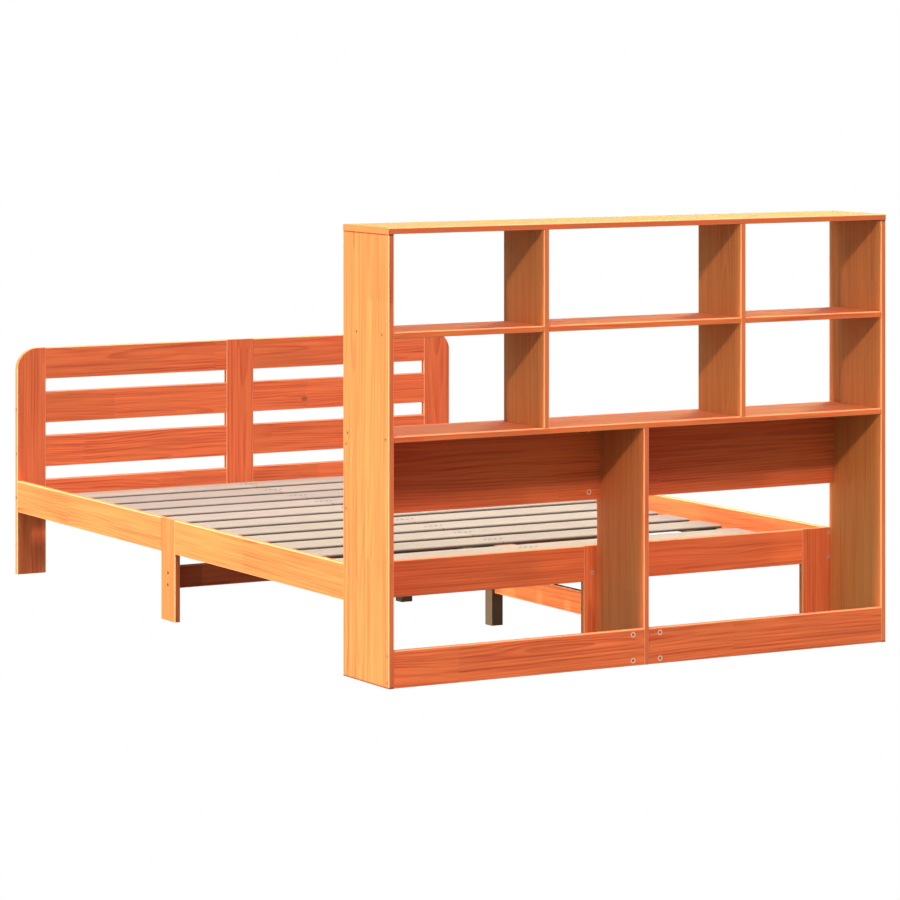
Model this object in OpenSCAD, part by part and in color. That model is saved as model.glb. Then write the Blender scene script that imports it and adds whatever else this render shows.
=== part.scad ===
// Double bed with an open bookcase at the head end, of solid pine boards.
// Millimetres, +Z up. The origin is on the floor, at the middle of the bed's outline.
// The bookcase stands at -Y and the slatted foot end at +Y.

/* [Mattress well] */
// Width of the mattress that the bed takes
mattress_w = 1400; // [1200:10:1600]
// Length of the mattress that the bed takes
mattress_l = 2000; // [1900:10:2200]
// Gap between the mattress and each side rail
well_side_gap = 1.5; // [1:0.5:6]
// Gap between the mattress and each end of the well
well_end_gap = 2.5; // [1:0.5:10]
// Depth of the well, from the top of the rails down to the top of the slats
well_depth = 45; // [35:1:50]

/* [Bookcase] */
// Height of the bookcase
case_h = 1097; // [1000:1:1250]
// Depth of the side panels and of the top
case_d = 230; // [220:1:300]
// Thickness of the bookcase's boards
panel_t = 15; // [13:0.5:20]
// Height of the upper shelf's top face
upper_shelf_z = 848; // [780:1:920]
// Height of the lower shelf's top face
lower_shelf_z = 599.5; // [560:0.5:680]
// Depth of the upper shelf and of the dividers beside it
upper_d = 195; // [170:1:210]
// Clear width of the left and right bays above the lower shelf
side_bay_w = 417; // [340:1:480]
// Height of the base boards
base_h = 90; // [84:1:110]
// Height of the back boards under the lower shelf
back_h = 197; // [180:1:240]
// Distance of the back boards' outer fasteners from their long edges
back_hole_inset = 20; // [14:1:30]

/* [Bed ends] */
// Thickness of the posts and boards of both bed ends
end_t = 16; // [15:0.5:22]
// Width of a post
post_w = 90; // [80:1:110]
// How far the bookcase's side panels lap the edges of the head end's posts
case_lap = 8; // [4:1:14]
// Height of the foot end
foot_h = 651; // [620:1:700]
// Radius of the foot end's two top corners
foot_corner_r = 64; // [40:1:85]

/* [Side rails] */
// Thickness of a side rail
rail_t = 16; // [16:0.5:24]
// Height of the rails and of the bed ends' boards
rail_h = 90; // [84:1:110]
// Height of the rails' underside
rail_z = 180; // [178:1:200]
// How far the side rails stand out past the head end's posts
rail_step = 5; // [2:0.5:5]
// Length of the half rail at the head end
head_rail_l = 956; // [900:1:1000]
// Width of the leg in the middle of each side
mid_leg_w = 85; // [70:1:110]
// Thickness of the leg in the middle of each side
mid_leg_t = 16; // [13:0.5:20]

/* [Centre support] */
// Width of the beam under the middle of the slats
beam_w = 60; // [52:1:80]
// Height of the beam under the middle of the slats
beam_h = 30; // [26:1:36]
// Side of a square centre leg
leg_side = 35; // [28:1:45]
// Distance between two centre legs
leg_pitch = 490; // [400:1:600]
// Height of the low brace and of the cross beams
brace_h = 60; // [54:1:80]
// Height of their underside
brace_z = 85; // [60:1:90]
// Height of the lower bolt through a middle leg, above the cross beam's underside
leg_bolt_up = 10; // [9:1:14]

/* [Slats] */
// Width of a slat
slat_w = 112; // [90:1:118]
// Thickness of a slat
slat_t = 8; // [7:0.5:12]
// Number of evenly spaced rows of slats
slat_rows = 10; // [8:1:10]
// Number of closer rows at the head end
head_rows = 3; // [2:1:3]
// Gap between two of the closer rows
head_gap = 26; // [10:1:30]
// Gap between the closer rows and the evenly spaced rows
wide_gap = 71; // [40:1:90]
// Gap between the outer ends of the slats and the side rails
slat_end_gap = 14; // [4:1:18]
// Width of the ledge under the slats' outer ends
ledge_w = 30; // [22:1:40]
// Height of the ledge under the slats' outer ends
ledge_h = 30; // [20:1:32]

/* [Edges] */
// Radius of the long edges of every board
edge_r = 2.5; // [1:0.5:4]
// Radius of the long edges of a slat
slat_r = 3; // [1:0.5:3]

/* [Fasteners] */
// Radius of a wood screw's shank
screw_r = 2.5; // [2:0.25:3]
// Radius of a wood screw's head
screw_head_r = 4.5; // [4:0.25:5.5]
// Depth of a wood screw's countersunk head
screw_head_l = 3; // [2:0.5:4]
// How far a wood screw reaches into the board behind
screw_bite = 35; // [25:1:50]
// Radius of the hexagon recess in a wood screw's head
screw_hex_r = 1.8; // [1:0.1:2]
// How far the foot posts' screws stand below the middle of their boards
post_screw_drop = 4; // [0:1:10]
// Radius of a connector bolt and of a stud
bolt_r = 2.5; // [2.5:0.25:3]
// Radius of a connector bolt's head
bolt_head_r = 4.75; // [4.5:0.25:5]
// Depth of a connector bolt's head, sunk in the board
bolt_head_l = 4; // [3:0.5:5]
// Radius of the hexagon recess in a connector bolt's head
bolt_hex_r = 2.4; // [1.5:0.1:3]
// Radius of a cross nut
nut_r = 4.5; // [4.5:0.25:5]
// How far a cross nut reaches past the bolt's axis
nut_past = 5.5; // [4.5:0.25:6]
// Distance from a board's end to its cross nut
nut_inset = 32; // [24:1:45]
// Radius of the hexagon recess in a cross nut's end
nut_hex_r = 2; // [1.5:0.1:3]
// Distance from a head post's edge to its bolts
bolt_edge = 6; // [5.5:0.25:6.5]
// Radius of a wooden dowel
dowel_r = 4; // [3:0.5:4.5]
// Depth of a dowel in the edge of a board
dowel_bite = 20; // [14:1:24]
// Depth of a dowel in the face of a bookcase board
dowel_face_bite = 10; // [6:1:11]
// Clearance round every fastener
fit_gap = 0.15; // [0.1:0.05:0.3]
// Depth of the hexagon recesses in the fasteners
recess_l = 1.8; // [1:0.1:2]

/* [Hidden] */
$fn = 48;

// Stain and wood colours
c_face = "#c9612f";
c_side = "#e79a4c";
c_slat = "#e3d3b8";
c_leg = "#b79f80";
c_steel = "#c8bfae";
c_dowel = "#d8b987";

// Widths, from the mattress outwards
well_w = mattress_w + 2 * well_side_gap;
bed_w = well_w + 2 * rail_t;
head_w = bed_w - 2 * rail_step;
case_w = head_w + 2 * panel_t;
case_in = head_w / 2;
rail_x = bed_w / 2 - rail_t / 2;
rail_bolt_x = case_in - bolt_edge;
nut_depth = rail_bolt_x - (bed_w / 2 - rail_t);

// Lengths, from the front of the bookcase to the back of the foot end
well_l = mattress_l + 2 * well_end_gap;
lower_d = case_d - case_lap;
total_l = lower_d + 2 * end_t + well_l;
y_case = -total_l / 2;
y_head = y_case + lower_d;
y_in = y_head + end_t;
y_foot = y_in + well_l;
y_mid = y_in + head_rail_l + mid_leg_w / 2;
foot_rail_l = well_l - head_rail_l - mid_leg_w;

// Heights of the bed frame
rail_top = rail_z + rail_h;
slat_top = rail_top - well_depth;
slat_z = slat_top - slat_t;
beam_z = slat_z - beam_h;
foot_boards = 4;
foot_pitch = (foot_h - rail_h - rail_z) / (foot_boards - 1);
rail_mid = rail_z + rail_h / 2;
beam_mid = beam_z + beam_h / 2;
brace_mid = brace_z + brace_h / 2;

// Heights and places in the bookcase
side_h = case_h - panel_t;
div_x = case_in - side_bay_w - panel_t;
div_mid = div_x + panel_t / 2;
back_z = lower_shelf_z - panel_t - back_h;
back_y = y_head - panel_t;

// Boards along Y and their places
function rail_l(e) = e == 0 ? head_rail_l : foot_rail_l;
function rail_y(e) = e == 0 ? y_in : y_foot - foot_rail_l;
leg_ys = [y_mid - leg_pitch, y_mid, y_mid + leg_pitch];

// Drilling: holes stand in steps of 32 mm about the middle of a board
step = 32;
upper_ys = [for (s = [-1, 1]) y_case + upper_d / 2 + s * 2 * step];
case_ys = [for (s = [-1, 1]) y_case + lower_d / 2 + s * 2 * step];
shelf_ys = [for (s = [-1, 1]) y_case + lower_d / 2 + s * 3 * step];
joint_ys = [for (s = [-1, 1]) y_case + lower_d / 2 + s * step];
back_zs = [back_z + back_hole_inset, back_z + back_h - back_hole_inset];
base_zs = [for (s = [-1, 1]) base_h / 2 + s * step];
rail_zs = [for (s = [-1, 1]) rail_mid + s * step];
brace_zs = [for (s = [-1, 1]) brace_mid + s * step / 2];
leg_bolt_zs = [for (i = [0, 1]) brace_z + leg_bolt_up + i * step];
dowel_dz = 22;
stud_x = panel_t / 2 + nut_inset;
beam_bolt_x = 20.5;

// Y and Z of the screws through each side panel, for one board behind it
upper_screws = [for (y = upper_ys) [y, upper_shelf_z - panel_t / 2]];
lower_screws = [for (y = shelf_ys) [y, lower_shelf_z - panel_t / 2]];
back_screws = [for (z = back_zs) [back_y + panel_t / 2, z]];
base_screws = [for (z = base_zs) [y_case + panel_t / 2, z]];
case_screws = concat(upper_screws, lower_screws, back_screws, base_screws);

// Y and Z of the studs through the lower divider
stud_yz = concat(back_screws, base_screws);

// Slats: the head rows are closer, then one wide gap, then even rows
first_y = y_in + head_rows * slat_w + (head_rows - 1) * head_gap + wide_gap;
slat_pitch = (y_foot - slat_w - first_y) / (slat_rows - 1);
slat_ys = concat(
    [for (i = [0:head_rows - 1]) y_in + i * (slat_w + head_gap)],
    [for (i = [0:slat_rows - 1]) first_y + i * slat_pitch]);

// Dowels: [centre of the joint, direction, depth behind it, depth past it]
x_dir = [1, 0, 0];
y_dir = [0, 1, 0];
z_dir = [0, 0, 1];
top_dowels = [for (s = [-1, 1], y = case_ys)
    [[s * (case_w - panel_t) / 2, y, side_h], z_dir, dowel_bite, dowel_face_bite]];
seam_dowels = [for (y = case_ys) [[0, y, case_h - panel_t / 2], x_dir, dowel_bite, dowel_bite]];
divider_top_dowels = [for (s = [-1, 1], y = upper_ys)
    [[s * div_mid, y, side_h], z_dir, dowel_bite, dowel_face_bite]];
divider_foot_dowels = [for (s = [-1, 1], y = upper_ys)
    [[s * div_mid, y, lower_shelf_z], z_dir, dowel_face_bite, dowel_bite]];
lower_divider_dowels = [for (y = case_ys)
    [[0, y, lower_shelf_z - panel_t], z_dir, dowel_bite, dowel_face_bite]];
upper_shelf_dowels = [for (s = [-1, 1], y = upper_ys)
    [[s * div_mid, y, upper_shelf_z - panel_t / 2], x_dir,
     dowel_bite + panel_t / 2, dowel_bite + panel_t / 2]];
lower_shelf_dowels = [for (s = [-1, 1], y = joint_ys)
    [[s * div_x, y, lower_shelf_z - panel_t / 2], x_dir, dowel_bite, dowel_bite]];
function end_dowels(x, y, z) = [for (s = [-1, 1], d = [-1, 1])
    [[s * x, y + end_t / 2, z + d * dowel_dz], x_dir, dowel_bite, dowel_bite]];
function board_z(i) = rail_mid + i * foot_pitch;
head_outer_dowels = end_dowels(case_in - post_w, y_head, rail_mid);
head_inner_dowels = end_dowels(post_w / 2, y_head, rail_mid);
foot_outer_dowels = [for (i = [0:foot_boards - 1]) each end_dowels(bed_w / 2 - post_w, y_foot, board_z(i))];
foot_inner_dowels = [for (i = [0:foot_boards - 1]) each end_dowels(post_w / 2, y_foot, board_z(i))];
mid_leg_dowels = [for (s = [-1, 1], e = [-1, 1], d = [-1, 1])
    [[s * (bed_w - mid_leg_t) / 2, y_mid + e * mid_leg_w / 2, rail_mid + d * dowel_dz],
     y_dir, dowel_bite, dowel_bite]];
brace_dowels = [for (y = [y_in, leg_ys[0] - leg_side / 2], z = brace_zs)
    [[0, y, z], y_dir, dowel_face_bite, dowel_face_bite]];
cross_beam_dowels = [for (s = [-1, 1], z = brace_zs)
    [[s * leg_side / 2, y_mid, z], x_dir, dowel_face_bite, dowel_face_bite]];
leg_top_dowels = concat(
    [for (y = [leg_ys[0], leg_ys[2]]) [[0, y, beam_z], z_dir, dowel_bite, dowel_face_bite]],
    [for (s = [-1, 1]) [[0, y_mid + s * leg_side / 4, beam_z], z_dir, dowel_bite, dowel_face_bite]]);
case_dowels = concat(top_dowels, seam_dowels, divider_top_dowels, divider_foot_dowels,
    lower_divider_dowels, upper_shelf_dowels, lower_shelf_dowels);
bed_dowels = concat(head_outer_dowels, head_inner_dowels, foot_outer_dowels, foot_inner_dowels,
    mid_leg_dowels, brace_dowels, cross_beam_dowels, leg_top_dowels);

// Section of a board with its four edges rounded
module section(a, b, r = edge_r) {
    translate([r, 0]) square([a - 2 * r, b]);
    translate([0, r]) square([a, b - 2 * r]);
    for (x = [r, a - r], y = [r, b - r]) translate([x, y]) circle(r);
}

// Boards whose grain runs along X, Y or Z, from their lowest corner
module board_x(size, r = edge_r) {
    rotate([90, 0, 90]) linear_extrude(size[0]) section(size[1], size[2], r);
}
module board_y(size, r = edge_r) {
    translate([0, size[1], 0]) rotate([90, 0, 0]) linear_extrude(size[1]) section(size[0], size[2], r);
}
module board_z(size, r = edge_r) {
    linear_extrude(size[2]) section(size[0], size[1], r);
}

// Turns a piece that is drawn along +Z so that it points along dir
module point_along(dir) {
    if (dir[0] != 0) rotate([0, dir[0] * 90, 0]) children();
    else if (dir[1] != 0) rotate([-dir[1] * 90, 0, 0]) children();
    else rotate([dir[2] < 0 ? 180 : 0, 0, 0]) children();
}

// A set of dowels, or with a gap the holes for them
module dowel_set(list, gap = 0) {
    for (d = list)
        translate(d[0] - d[1] * (d[2] + gap)) point_along(d[1])
            cylinder(h = d[2] + d[3] + 2 * gap, r = dowel_r + gap);
}

// A countersunk screw along +Z, its head flush with the origin, or the hole for it
module screw(length, gap = 0) {
    difference() {
        union() {
            cylinder(h = screw_head_l, r1 = screw_head_r + gap, r2 = screw_r + gap);
            cylinder(h = length + gap, r = screw_r + gap);
        }
        if (gap == 0) cylinder(h = recess_l, r = screw_hex_r, $fn = 6);
    }
}

// A connector bolt along +Z, its head sunk from the origin, or the hole for it
module bolt(length, gap = 0) {
    difference() {
        union() {
            cylinder(h = bolt_head_l, r = bolt_head_r + gap);
            cylinder(h = length + gap, r = bolt_r + gap);
        }
        if (gap == 0) cylinder(h = recess_l, r = bolt_hex_r, $fn = 6);
    }
}

// A cross nut along +Z for a bolt that crosses it at the given depth, or the hole for it
module nut(depth, across, gap = 0) {
    difference() {
        cylinder(h = depth + nut_past + gap, r = nut_r + gap);
        if (gap == 0) {
            translate([0, 0, depth]) translate(-across * nut_r * 2) point_along(across)
                cylinder(h = nut_r * 4, r = bolt_r + fit_gap);
            cylinder(h = recess_l, r = nut_hex_r, $fn = 6);
        }
    }
}

// Screws through the side panels, at the Y and Z of each point
module case_screw_set(points, sides = [-1, 1], gap = 0) {
    for (s = sides, p = points)
        translate([s * case_w / 2, p[0], p[1]]) point_along([-s, 0, 0]) screw(panel_t + screw_bite, gap);
}

// Screws through the foot end's outer posts into its three lower boards
module post_screw_set(sides = [-1, 1], gap = 0) {
    for (s = sides, i = [0:foot_boards - 2])
        translate([s * bed_w / 2, y_foot + end_t / 2, board_z(i) - post_screw_drop]) point_along([-s, 0, 0])
            screw(post_w + screw_bite, gap);
}

// Studs through the lower divider, from cross nut to cross nut
module stud_set(gap = 0) {
    for (p = stud_yz)
        translate([-stud_x - nut_r, p[0], p[1]]) point_along(x_dir)
            cylinder(h = 2 * (stud_x + nut_r), r = bolt_r + gap);
}

// Bolts from each bed end into the side rails
module rail_bolt_set(sides = [-1, 1], ends = [0, 1], gap = 0) {
    for (s = sides, e = ends, z = rail_zs)
        translate([s * rail_bolt_x, e == 0 ? y_head : y_foot + end_t, z]) point_along([0, 1 - 2 * e, 0])
            bolt(end_t + nut_inset + nut_r, gap);
}

// Bolts from each bed end's middle post into the centre beam
module beam_bolt_set(ends = [0, 1], gap = 0) {
    for (s = [-1, 1], e = ends)
        translate([s * beam_bolt_x, e == 0 ? y_head : y_foot + end_t, beam_mid])
            point_along([0, 1 - 2 * e, 0]) bolt(end_t + nut_inset + nut_r, gap);
}

// Bolts through the middle legs into the cross beams
module leg_bolt_set(sides = [-1, 1], gap = 0) {
    for (s = sides, z = leg_bolt_zs)
        translate([s * bed_w / 2, y_mid, z]) point_along([-s, 0, 0]) bolt(mid_leg_t + nut_inset + nut_r, gap);
}

// Cross nuts in the fronts of the base boards and back boards
module divider_nut_set(gap = 0) {
    for (s = [-1, 1], p = stud_yz)
        translate([s * stud_x, p[0] - panel_t / 2, p[1]]) point_along(y_dir) nut(panel_t / 2, x_dir, gap);
}

// Cross nuts in the inner faces of the side rails
module rail_nut_set(sides = [-1, 1], ends = [0, 1], gap = 0) {
    for (s = sides, e = ends, z = rail_zs)
        translate([s * (bed_w / 2 - rail_t), e == 0 ? y_in + nut_inset : y_foot - nut_inset, z])
            point_along([s, 0, 0]) nut(nut_depth, y_dir, gap);
}

// Cross nuts in the underside of the centre beam
module beam_nut_set(ends = [0, 1], gap = 0) {
    for (s = [-1, 1], e = ends)
        translate([s * beam_bolt_x, e == 0 ? y_in + nut_inset : y_foot - nut_inset, beam_z])
            nut(beam_h / 2, y_dir, gap);
}

// Cross nuts in the back faces of the cross beams
module brace_nut_set(sides = [-1, 1], gap = 0) {
    for (s = sides, z = leg_bolt_zs)
        translate([s * (bed_w / 2 - mid_leg_t - nut_inset), y_mid + end_t / 2, z])
            point_along([0, -1, 0]) nut(end_t / 2, x_dir, gap);
}

// Bookcase: side panels under the top
module case_side(s) {
    color(c_side) difference() {
        translate([s > 0 ? case_in : -case_w / 2, y_case, 0]) board_z([panel_t, case_d, side_h]);
        case_screw_set(case_screws, [s], fit_gap);
        dowel_set(top_dowels, fit_gap);
    }
}

// Bookcase: the top is two boards that meet in the middle
module case_top(s) {
    color(c_side) difference() {
        translate([s > 0 ? 0 : -case_w / 2, y_case, side_h]) board_x([case_w / 2, case_d, panel_t]);
        dowel_set(concat(top_dowels, seam_dowels, divider_top_dowels), fit_gap);
    }
}

// Bookcase: a divider from the lower shelf to the top
module upper_divider(s) {
    color(c_face) difference() {
        translate([s * div_mid - panel_t / 2, y_case, lower_shelf_z])
            board_z([panel_t, upper_d, side_h - lower_shelf_z]);
        dowel_set(concat(divider_top_dowels, divider_foot_dowels, upper_shelf_dowels), fit_gap);
    }
}

// Bookcase: an upper shelf board from x0 to x1
module upper_shelf(x0, x1) {
    color(c_face) difference() {
        translate([x0, y_case, upper_shelf_z - panel_t]) board_x([x1 - x0, upper_d, panel_t]);
        case_screw_set(upper_screws, [-1, 1], fit_gap);
        dowel_set(upper_shelf_dowels, fit_gap);
    }
}

// Bookcase: a lower shelf board from x0 to x1
module lower_shelf(x0, x1) {
    color(c_face) difference() {
        translate([x0, y_case, lower_shelf_z - panel_t]) board_x([x1 - x0, lower_d, panel_t]);
        case_screw_set(lower_screws, [-1, 1], fit_gap);
        dowel_set(concat(lower_shelf_dowels, divider_foot_dowels, lower_divider_dowels), fit_gap);
    }
}

// Bookcase: the divider from the floor to the lower shelf
module lower_divider() {
    color(c_face) difference() {
        translate([-panel_t / 2, y_case, 0]) board_z([panel_t, lower_d, lower_shelf_z - panel_t]);
        stud_set(fit_gap);
        dowel_set(lower_divider_dowels, fit_gap);
    }
}

// Bookcase: a back board or base board beside the lower divider
module low_board(s, y, z, h, screws) {
    color(c_face) difference() {
        translate([s > 0 ? panel_t / 2 : -case_in, y, z])
            board_x([case_in - panel_t / 2, panel_t, h]);
        case_screw_set(screws, [s], fit_gap);
        stud_set(fit_gap);
        divider_nut_set(fit_gap);
    }
}

// Head end: posts at the sides and in the middle
module head_post(s) {
    color(c_face) difference() {
        translate([s * (case_in - post_w / 2) - post_w / 2, y_head, 0]) board_z([post_w, end_t, rail_top]);
        dowel_set(concat(head_outer_dowels, head_inner_dowels), fit_gap);
        if (s == 0) beam_bolt_set([0], fit_gap);
        if (s == 0) dowel_set(brace_dowels, fit_gap);
        if (s != 0) rail_bolt_set([s], [0], fit_gap);
    }
}

// Head end: the rail between two posts
module head_rail(s) {
    color(c_face) difference() {
        translate([s > 0 ? post_w / 2 : post_w - case_in, y_head, rail_z])
            board_x([case_in - post_w - post_w / 2, end_t, rail_h]);
        dowel_set(concat(head_outer_dowels, head_inner_dowels), fit_gap);
    }
}

// Foot end: outline of an outer post, its top corner rounded on the outside
module foot_post_outline(s) {
    mirror([s > 0 ? 0 : 1, 0]) {
        square([post_w, foot_h - foot_corner_r]);
        square([post_w - foot_corner_r, foot_h]);
        translate([post_w - foot_corner_r, foot_h - foot_corner_r]) intersection() {
            circle(foot_corner_r);
            square(foot_corner_r);
        }
    }
}

// Foot end: posts at the sides and in the middle
module foot_post(s) {
    color(c_face) difference() {
        intersection() {
            translate([s * (bed_w - post_w) / 2 - post_w / 2, y_foot, 0]) board_z([post_w, end_t, foot_h]);
            if (s != 0)
                translate([s * (bed_w / 2 - post_w), y_foot + end_t, 0]) rotate([90, 0, 0])
                    linear_extrude(end_t) foot_post_outline(s);
        }
        dowel_set(concat(foot_outer_dowels, foot_inner_dowels), fit_gap);
        if (s == 0) beam_bolt_set([1], fit_gap);
        if (s != 0) rail_bolt_set([s], [1], fit_gap);
        if (s != 0) post_screw_set([s], fit_gap);
    }
}

// Foot end: a board between two posts, counted from the lowest
module foot_board(s, i) {
    board_l = (bed_w - 3 * post_w) / 2;
    color(c_face) difference() {
        translate([s > 0 ? post_w / 2 : -post_w / 2 - board_l, y_foot, rail_z + i * foot_pitch])
            board_x([board_l, end_t, rail_h]);
        dowel_set(concat(foot_outer_dowels, foot_inner_dowels), fit_gap);
        post_screw_set([s], fit_gap);
    }
}

// Sides: half a rail, at the head end or the foot end
module side_rail(s, e) {
    color(c_side) difference() {
        translate([s * rail_x - rail_t / 2, rail_y(e), rail_z])
            board_y([rail_t, rail_l(e), rail_h]);
        rail_bolt_set([s], [e], fit_gap);
        rail_nut_set([s], [e], fit_gap);
        dowel_set(mid_leg_dowels, fit_gap);
    }
}

// Sides: the leg between the two halves of a rail, flush with their outer faces
module mid_leg(s) {
    color(c_side) difference() {
        translate([s * (bed_w - mid_leg_t) / 2 - mid_leg_t / 2, y_mid - mid_leg_w / 2, 0])
            board_z([mid_leg_t, mid_leg_w, rail_top]);
        dowel_set(mid_leg_dowels, fit_gap);
        leg_bolt_set([s], fit_gap);
    }
}

// Sides: the ledge inside half a rail, which carries the slats' outer ends
module ledge(s, e) {
    color(c_slat)
        translate([s * (well_w - ledge_w) / 2 - ledge_w / 2, rail_y(e), slat_z - ledge_h])
            board_y([ledge_w, rail_l(e), ledge_h]);
}

// Centre: half of the beam under the slats
module centre_beam(e) {
    y0 = e == 0 ? y_in : y_mid;
    y1 = e == 0 ? y_mid : y_foot;
    color(c_slat) difference() {
        translate([-beam_w / 2, y0, beam_z]) board_y([beam_w, y1 - y0, beam_h]);
        beam_bolt_set([e], fit_gap);
        beam_nut_set([e], fit_gap);
        dowel_set(leg_top_dowels, fit_gap);
    }
}

// Centre: a square leg under the beam
module centre_leg(i) {
    color(c_leg) difference() {
        translate([-leg_side / 2, leg_ys[i] - leg_side / 2, 0]) board_z([leg_side, leg_side, beam_z]);
        dowel_set(leg_top_dowels, fit_gap);
        if (i == 1) dowel_set(cross_beam_dowels, fit_gap);
        if (i == 0) dowel_set(brace_dowels, fit_gap);
    }
}

// Centre: the low beam between a side's middle leg and the middle centre leg
module cross_beam(s) {
    beam_l = bed_w / 2 - mid_leg_t - leg_side / 2;
    color(c_face) difference() {
        translate([s > 0 ? leg_side / 2 : -leg_side / 2 - beam_l, y_mid - end_t / 2, brace_z])
            board_x([beam_l, end_t, brace_h]);
        leg_bolt_set([s], fit_gap);
        brace_nut_set([s], fit_gap);
        dowel_set(cross_beam_dowels, fit_gap);
    }
}

// Centre: the low brace between the head end's middle post and the nearest centre leg
module low_brace() {
    color(c_side) difference() {
        translate([-end_t / 2, y_in, brace_z])
            board_y([end_t, leg_ys[0] - leg_side / 2 - y_in, brace_h]);
        dowel_set(brace_dowels, fit_gap);
    }
}

// Slats: each row is two halves that meet over the centre beam
module slats(s) {
    slat_l = well_w / 2 - slat_end_gap;
    color(c_slat) for (y = slat_ys)
        translate([s > 0 ? 0 : -slat_l, y, slat_z]) board_x([slat_l, slat_w, slat_t], slat_r);
}

// Fasteners
module side_screws() {
    color(c_steel) case_screw_set(case_screws);
}
module post_screws() {
    color(c_steel) post_screw_set();
}
module divider_studs() {
    color(c_steel) stud_set();
}
module frame_bolts() {
    color(c_steel) {
        rail_bolt_set();
        beam_bolt_set();
        leg_bolt_set();
    }
}
module cross_nuts() {
    color(c_steel) {
        divider_nut_set();
        rail_nut_set();
        beam_nut_set();
        brace_nut_set();
    }
}
module dowels() {
    color(c_dowel) dowel_set(concat(case_dowels, bed_dowels));
}

case_side(-1);  // case_side_left
case_side(1);  // case_side_right
case_top(-1);  // case_top_left
case_top(1);  // case_top_right
upper_divider(-1);  // upper_divider_left
upper_divider(1);  // upper_divider_right
upper_shelf(-case_in, -div_x - panel_t);  // upper_shelf_left
upper_shelf(-div_x, div_x);  // upper_shelf_centre
upper_shelf(div_x + panel_t, case_in);  // upper_shelf_right
lower_shelf(-case_in, -div_x);  // lower_shelf_left
lower_shelf(-div_x, div_x);  // lower_shelf_centre
lower_shelf(div_x, case_in);  // lower_shelf_right
lower_divider();
low_board(-1, back_y, back_z, back_h, back_screws);  // back_board_left
low_board(1, back_y, back_z, back_h, back_screws);  // back_board_right
low_board(-1, y_case, 0, base_h, base_screws);  // base_board_left
low_board(1, y_case, 0, base_h, base_screws);  // base_board_right
head_post(-1);  // head_post_left
head_post(0);  // head_post_centre
head_post(1);  // head_post_right
head_rail(-1);  // head_rail_left
head_rail(1);  // head_rail_right
foot_post(-1);  // foot_post_left
foot_post(0);  // foot_post_centre
foot_post(1);  // foot_post_right
foot_board(-1, 0);  // foot_board_left_1
foot_board(-1, 1);  // foot_board_left_2
foot_board(-1, 2);  // foot_board_left_3
foot_board(-1, 3);  // foot_board_left_4
foot_board(1, 0);  // foot_board_right_1
foot_board(1, 1);  // foot_board_right_2
foot_board(1, 2);  // foot_board_right_3
foot_board(1, 3);  // foot_board_right_4
side_rail(-1, 0);  // side_rail_left_head
side_rail(-1, 1);  // side_rail_left_foot
side_rail(1, 0);  // side_rail_right_head
side_rail(1, 1);  // side_rail_right_foot
mid_leg(-1);  // mid_leg_left
mid_leg(1);  // mid_leg_right
ledge(-1, 0);  // ledge_left_head
ledge(-1, 1);  // ledge_left_foot
ledge(1, 0);  // ledge_right_head
ledge(1, 1);  // ledge_right_foot
centre_beam(0);  // centre_beam_head
centre_beam(1);  // centre_beam_foot
centre_leg(0);  // centre_leg_head
centre_leg(1);  // centre_leg_middle
centre_leg(2);  // centre_leg_foot
cross_beam(-1);  // cross_beam_left
cross_beam(1);  // cross_beam_right
low_brace();
slats(-1);  // slats_left
slats(1);  // slats_right
side_screws();
post_screws();
divider_studs();
frame_bolts();
cross_nuts();
dowels();
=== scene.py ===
"""Looks for a slatted bed frame with a bookcase at its head end.

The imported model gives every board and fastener. This script gives them stained pine, plain
pine and steel, adds the small screws in the slats and ledges, and sets up the studio.
Lengths are in metres, +Z is up, and the bookcase stands at -Y.
"""

import math

import bmesh
import bpy
from bpy.props import FloatProperty, FloatVectorProperty, IntProperty, PointerProperty
from mathutils import Matrix, Vector


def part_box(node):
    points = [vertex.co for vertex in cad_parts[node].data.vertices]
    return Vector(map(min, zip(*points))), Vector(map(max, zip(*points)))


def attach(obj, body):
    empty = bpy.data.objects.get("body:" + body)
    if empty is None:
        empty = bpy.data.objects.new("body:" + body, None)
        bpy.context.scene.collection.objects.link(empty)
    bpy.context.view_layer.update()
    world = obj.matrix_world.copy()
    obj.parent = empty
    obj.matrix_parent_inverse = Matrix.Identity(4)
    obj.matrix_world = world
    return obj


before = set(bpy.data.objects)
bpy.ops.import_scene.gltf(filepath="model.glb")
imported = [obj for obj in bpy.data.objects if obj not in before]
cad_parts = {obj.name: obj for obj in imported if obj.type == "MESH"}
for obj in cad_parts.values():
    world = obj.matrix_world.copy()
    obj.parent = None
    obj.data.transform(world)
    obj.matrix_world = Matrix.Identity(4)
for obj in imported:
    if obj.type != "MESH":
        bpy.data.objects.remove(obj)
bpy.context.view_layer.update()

bl_info = {
    "name": "Bed frame looks",
    "version": (1, 0, 0),
    "blender": (4, 5, 0),
    "location": "3D View > Sidebar > Bed frame",
    "description": "Pine, steel, small screws and studio for a bed frame with a bookcase",
    "category": "Object",
}

# The CAD nodes of each group, by their names or the starts of their names.
STEEL_NODES = ("side_screws", "post_screws", "divider_studs", "frame_bolts", "cross_nuts")
BOOKCASE_NODES = ("case_", "upper_", "lower_", "base_board", "back_board")
BED_NODES = ("head_", "foot_", "side_rail", "mid_leg", "cross_beam", "low_brace")
SUPPORT_NODES = ("ledge", "centre_", "dowels")

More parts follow.
